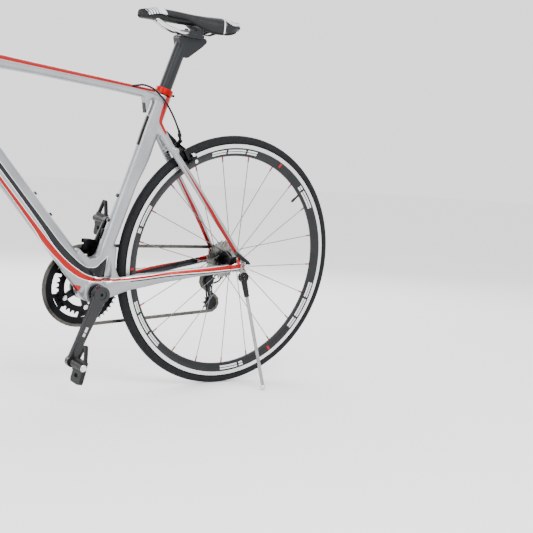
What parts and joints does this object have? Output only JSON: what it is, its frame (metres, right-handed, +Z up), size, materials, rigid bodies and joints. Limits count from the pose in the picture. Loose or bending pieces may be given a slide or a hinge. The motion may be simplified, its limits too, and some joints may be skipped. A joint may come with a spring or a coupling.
{
  "type": "road bicycle",
  "caption": "Drop-bar road bicycle with deep-section wheels and double chainset, standing on its tyres and a slim clip-on kickstand under the rear axle.",
  "frame": {"origin": "rear tyre's contact point on the floor", "axes": "+X forward along the floor, +Y to the rider's left, +Z up; the bicycle leans 5.5 degrees to its left onto the kickstand"},
  "size_m": [1.6529, 0.459, 0.9536],
  "materials": {
    "frame_paint": "clear-coated silver paint with red and dark bands",
    "carbon_black": "satin carbon",
    "black_plastic": "matte",
    "black_alloy": "black anodised",
    "silver_alloy": "satin",
    "steel": "brushed",
    "red_alloy": "red anodised",
    "rim_alloy": "black with machined brake track",
    "tyre_rubber": "moulded tread",
    "black_rubber": "matte",
    "saddle_leather": "fine grain",
    "bar_cork": "wrapped tape",
    "chain_steel": "oiled"
  },
  "bodies": {
    "frame": {"head_tube": "frame_paint", "top_tube": "frame_paint", "down_tube": "frame_paint", "seat_tube": "frame_paint", "chainstays": "frame_paint", "seatstays": "frame_paint", "rear_dropouts": "black_alloy", "bearing_cups": "black_alloy", "seat_collar": "red_alloy", "frame_bolts": "black_alloy", "chain": "chain_steel", "cables": "black_rubber", "fd_clamp": "black_alloy", "rear_axle": "steel", "kickstand_plate": "steel", "rear_brake_base": "black_alloy"},
    "seat": {"seatpost": "carbon_black", "saddle_rails": "steel", "saddle_shell": "black_plastic", "saddle_cover": "saddle_leather"},
    "steering": {"fork": "frame_paint", "stem": "black_alloy", "handlebar": "black_alloy", "bar_tape": "bar_cork", "lever_hoods": "black_rubber", "front_axle": "steel", "front_brake_base": "black_alloy"},
    "front_wheel": {"front_rim": "rim_alloy", "front_tyre": "tyre_rubber", "front_hub": "black_alloy"},
    "rear_wheel": {"rear_rim": "rim_alloy", "rear_tyre": "tyre_rubber", "rear_hub": "black_alloy"},
    "cassette": {"cassette": "chain_steel"},
    "crankset": {"crank_arm_left": "black_alloy", "crank_arm_right": "black_alloy", "chainrings": "black_alloy"},
    "pedal_left": {"pedal_left": "black_plastic"},
    "pedal_right": {"pedal_right": "black_plastic"},
    "rd_base": {"rd_base": "black_alloy"},
    "rd_link_inner": {"rd_link_inner": "black_alloy"},
    "rd_link_outer": {"rd_link_outer": "black_alloy"},
    "rd_knuckle": {"rd_knuckle": "black_alloy"},
    "rd_cage": {"rd_cage": "black_alloy"},
    "rd_guide_pulley": {"rd_guide_pulley": "black_plastic"},
    "rd_tension_pulley": {"rd_tension_pulley": "black_plastic"},
    "fd_link_inner": {"fd_link_inner": "black_alloy"},
    "fd_link_outer": {"fd_link_outer": "black_alloy"},
    "fd_cage": {"fd_cage": "steel"},
    "rear_brake_arm_left": {"rear_brake_arm_left": "black_alloy"},
    "rear_brake_arm_right": {"rear_brake_arm_right": "black_alloy"},
    "front_brake_arm_left": {"front_brake_arm_left": "black_alloy"},
    "front_brake_arm_right": {"front_brake_arm_right": "black_alloy"},
    "brake_lever_left": {"brake_lever_left": "black_alloy"},
    "brake_lever_right": {"brake_lever_right": "black_alloy"},
    "shift_paddle_left": {"shift_paddle_left": "black_plastic"},
    "shift_paddle_right": {"shift_paddle_right": "black_plastic"},
    "front_qr_lever": {"front_qr_lever": "black_alloy"},
    "rear_qr_lever": {"rear_qr_lever": "black_alloy"},
    "kickstand_leg": {"kickstand_leg": "silver_alloy"}
  },
  "joints": [
    {"name": "steer", "type": "hinge", "parent": "frame", "child": "steering", "pos_m": [0.81231, 0.07095, 0.74836], "axis": [-0.2924, 0.0917, 0.9519], "range_deg": [-70, 70], "deforming": ["cables"]},
    {"name": "front_wheel_spin", "type": "hinge", "parent": "steering", "child": "front_wheel", "pos_m": [0.985, 0.03091, 0.33252], "axis": [0, 0.9954, -0.0958], "continuous": true},
    {"name": "rear_wheel_spin", "type": "hinge", "parent": "frame", "child": "rear_wheel", "pos_m": [0, 0.03091, 0.33252], "axis": [0, 0.9954, -0.0958], "continuous": true},
    {"name": "crank_spin", "type": "hinge", "parent": "frame", "child": "crankset", "pos_m": [0.402, 0.0242, 0.26284], "axis": [0, 0.9954, -0.0958], "continuous": true, "deforming": ["chain"]},
    {"name": "cassette_spin", "type": "hinge", "parent": "frame", "child": "cassette", "pos_m": [0, 0.03091, 0.33252], "axis": [0, 0.9954, -0.0958], "continuous": true, "deforming": ["chain"]},
    {"name": "pedal_left_spin", "type": "hinge", "parent": "crankset", "child": "pedal_left", "pos_m": [0.4694, 0.00898, 0.10478], "axis": [0, 0.9954, -0.0958], "continuous": true},
    {"name": "pedal_right_spin", "type": "hinge", "parent": "crankset", "child": "pedal_right", "pos_m": [0.3346, 0.03942, 0.42089], "axis": [0, 0.9954, -0.0958], "continuous": true},
    {"name": "rd_hanger_pivot", "type": "hinge", "parent": "frame", "child": "rd_base", "pos_m": [-0.009, -0.04643, 0.31183], "axis": [0, 0.9954, -0.0958], "range_deg": [-10, 0], "deforming": ["chain", "cables"]},
    {"name": "rd_shift", "type": "hinge", "parent": "rd_base", "child": "rd_link_outer", "pos_m": [-0.004, -0.06588, 0.29763], "axis": [0.8222, 0.0546, 0.5666], "range_deg": [-18, 19], "stiffness_Nm_per_rad": 0.6, "deforming": ["chain", "cables"]},
    {"name": "rd_link_inner_pivot", "type": "hinge", "parent": "rd_base", "child": "rd_link_inner", "pos_m": [-0.004, -0.05393, 0.29648], "axis": [0.8222, 0.0546, 0.5666], "range_deg": [-18, 19], "deforming": ["chain", "cables"]},
    {"name": "rd_knuckle_pivot", "type": "hinge", "parent": "rd_link_outer", "child": "rd_knuckle", "pos_m": [0.014, -0.05344, 0.27031], "axis": [0.8222, 0.0546, 0.5666], "range_deg": [-19, 18], "deforming": ["chain", "cables"]},
    {"name": "rd_cage_pivot", "type": "hinge", "parent": "rd_knuckle", "child": "rd_cage", "pos_m": [0.02, 0.02497, 0.2708], "axis": [0, 0.9954, -0.0958], "range_deg": [-20, 25], "stiffness_Nm_per_rad": 0.4, "deforming": ["chain"]},
    {"name": "rd_guide_spin", "type": "hinge", "parent": "rd_cage", "child": "rd_guide_pulley", "pos_m": [0.02899, 0.02502, 0.27132], "axis": [0, 0.9954, -0.0958], "continuous": true, "deforming": ["chain"]},
    {"name": "rd_tension_spin", "type": "hinge", "parent": "rd_cage", "child": "rd_tension_pulley", "pos_m": [0.01248, 0.01907, 0.20954], "axis": [0, 0.9954, -0.0958], "continuous": true, "deforming": ["chain"]},
    {"name": "fd_shift", "type": "hinge", "parent": "frame", "child": "fd_link_outer", "pos_m": [0.352, 0.00021, 0.39977], "axis": [1, 0, 0], "range_deg": [0, 22], "stiffness_Nm_per_rad": 0.5, "deforming": ["chain"]},
    {"name": "fd_link_inner_pivot", "type": "hinge", "parent": "frame", "child": "fd_link_inner", "pos_m": [0.352, 0.01116, 0.39871], "axis": [1, 0, 0], "range_deg": [0, 22], "deforming": ["chain"]},
    {"name": "fd_cage_pivot", "type": "hinge", "parent": "fd_link_outer", "child": "fd_cage", "pos_m": [0.352, -0.00878, 0.38456], "axis": [1, 0, 0], "range_deg": [-22, 0], "deforming": ["chain"]},
    {"name": "rear_brake_arm_left_pivot", "type": "hinge", "parent": "frame", "child": "rear_brake_arm_left", "pos_m": [0.2018, 0.05894, 0.62357], "axis": [-0.8, 0.0575, 0.5972], "range_deg": [0, 1.3], "deforming": ["cables"]},
    {"name": "rear_brake_arm_right_pivot", "type": "hinge", "parent": "frame", "child": "rear_brake_arm_right", "pos_m": [0.203, 0.03619, 0.62737], "axis": [-0.8, 0.0575, 0.5972], "range_deg": [-1.3, 0], "deforming": ["cables"]},
    {"name": "front_brake_arm_left_pivot", "type": "hinge", "parent": "steering", "child": "front_brake_arm_left", "pos_m": [0.86245, 0.0631, 0.66682], "axis": [0.9563, 0.028, 0.291], "range_deg": [-1.3, 0], "deforming": ["cables"]},
    {"name": "front_brake_arm_right_pivot", "type": "hinge", "parent": "steering", "child": "front_brake_arm_right", "pos_m": [0.86187, 0.04039, 0.67092], "axis": [0.9563, 0.028, 0.291], "range_deg": [0, 1.3], "deforming": ["cables"]},
    {"name": "brake_lever_left_pull", "type": "hinge", "parent": "steering", "child": "brake_lever_left", "pos_m": [1.03234, 0.2887, 0.85005], "axis": [0, 0.9954, -0.0958], "range_deg": [0, 15], "stiffness_Nm_per_rad": 2, "deforming": ["cables"]},
    {"name": "shift_paddle_left_push", "type": "hinge", "parent": "brake_lever_left", "child": "shift_paddle_left", "pos_m": [1.02134, 0.28487, 0.81024], "axis": [1, 0, 0], "range_deg": [-18, 0], "stiffness_Nm_per_rad": 0.3},
    {"name": "brake_lever_right_pull", "type": "hinge", "parent": "steering", "child": "brake_lever_right", "pos_m": [1.03234, -0.12339, 0.88973], "axis": [0, 0.9954, -0.0958], "range_deg": [0, 15], "stiffness_Nm_per_rad": 2, "deforming": ["cables"]},
    {"name": "shift_paddle_right_push", "type": "hinge", "parent": "brake_lever_right", "child": "shift_paddle_right", "pos_m": [1.02134, -0.12723, 0.84992], "axis": [1, 0, 0], "range_deg": [0, 18], "stiffness_Nm_per_rad": 0.3},
    {"name": "rear_qr_open", "type": "hinge", "parent": "frame", "child": "rear_qr_lever", "pos_m": [0, 0.11353, 0.32456], "axis": [-0.45, 0.0856, 0.8889], "range_deg": [0, 100]},
    {"name": "front_qr_open", "type": "hinge", "parent": "steering", "child": "front_qr_lever", "pos_m": [0.985, 0.09561, 0.32628], "axis": [-0.45, 0.0856, 0.8889], "range_deg": [0, 100]},
    {"name": "kickstand_fold", "type": "hinge", "parent": "frame", "child": "kickstand_leg", "pos_m": [0, 0.10437, 0.29731], "axis": [0, 0.9933, 0.1157], "range_deg": [0, 100]},
    {"name": "seatpost_height", "type": "slide", "parent": "frame", "child": "seat", "axis": [-0.2974, 0.0915, 0.9504], "range_m": [-0.06, 0.05]}
  ],
  "couplings": [
    {"joint": "cassette_spin", "follows": "crank_spin", "ratio": 3.3333},
    {"joint": "rd_guide_spin", "follows": "crank_spin", "ratio": -4.5455},
    {"joint": "rd_tension_spin", "follows": "crank_spin", "ratio": 4.5455},
    {"joint": "rd_link_inner_pivot", "follows": "rd_shift", "ratio": 1},
    {"joint": "rd_knuckle_pivot", "follows": "rd_shift", "ratio": -1},
    {"joint": "fd_link_inner_pivot", "follows": "fd_shift", "ratio": 1},
    {"joint": "fd_cage_pivot", "follows": "fd_shift", "ratio": -1},
    {"joint": "rear_brake_arm_left_pivot", "follows": "brake_lever_right_pull", "ratio": 0.073333},
    {"joint": "rear_brake_arm_right_pivot", "follows": "brake_lever_right_pull", "ratio": -0.073333},
    {"joint": "front_brake_arm_left_pivot", "follows": "brake_lever_left_pull", "ratio": -0.073333},
    {"joint": "front_brake_arm_right_pivot", "follows": "brake_lever_left_pull", "ratio": 0.073333}
  ]
}
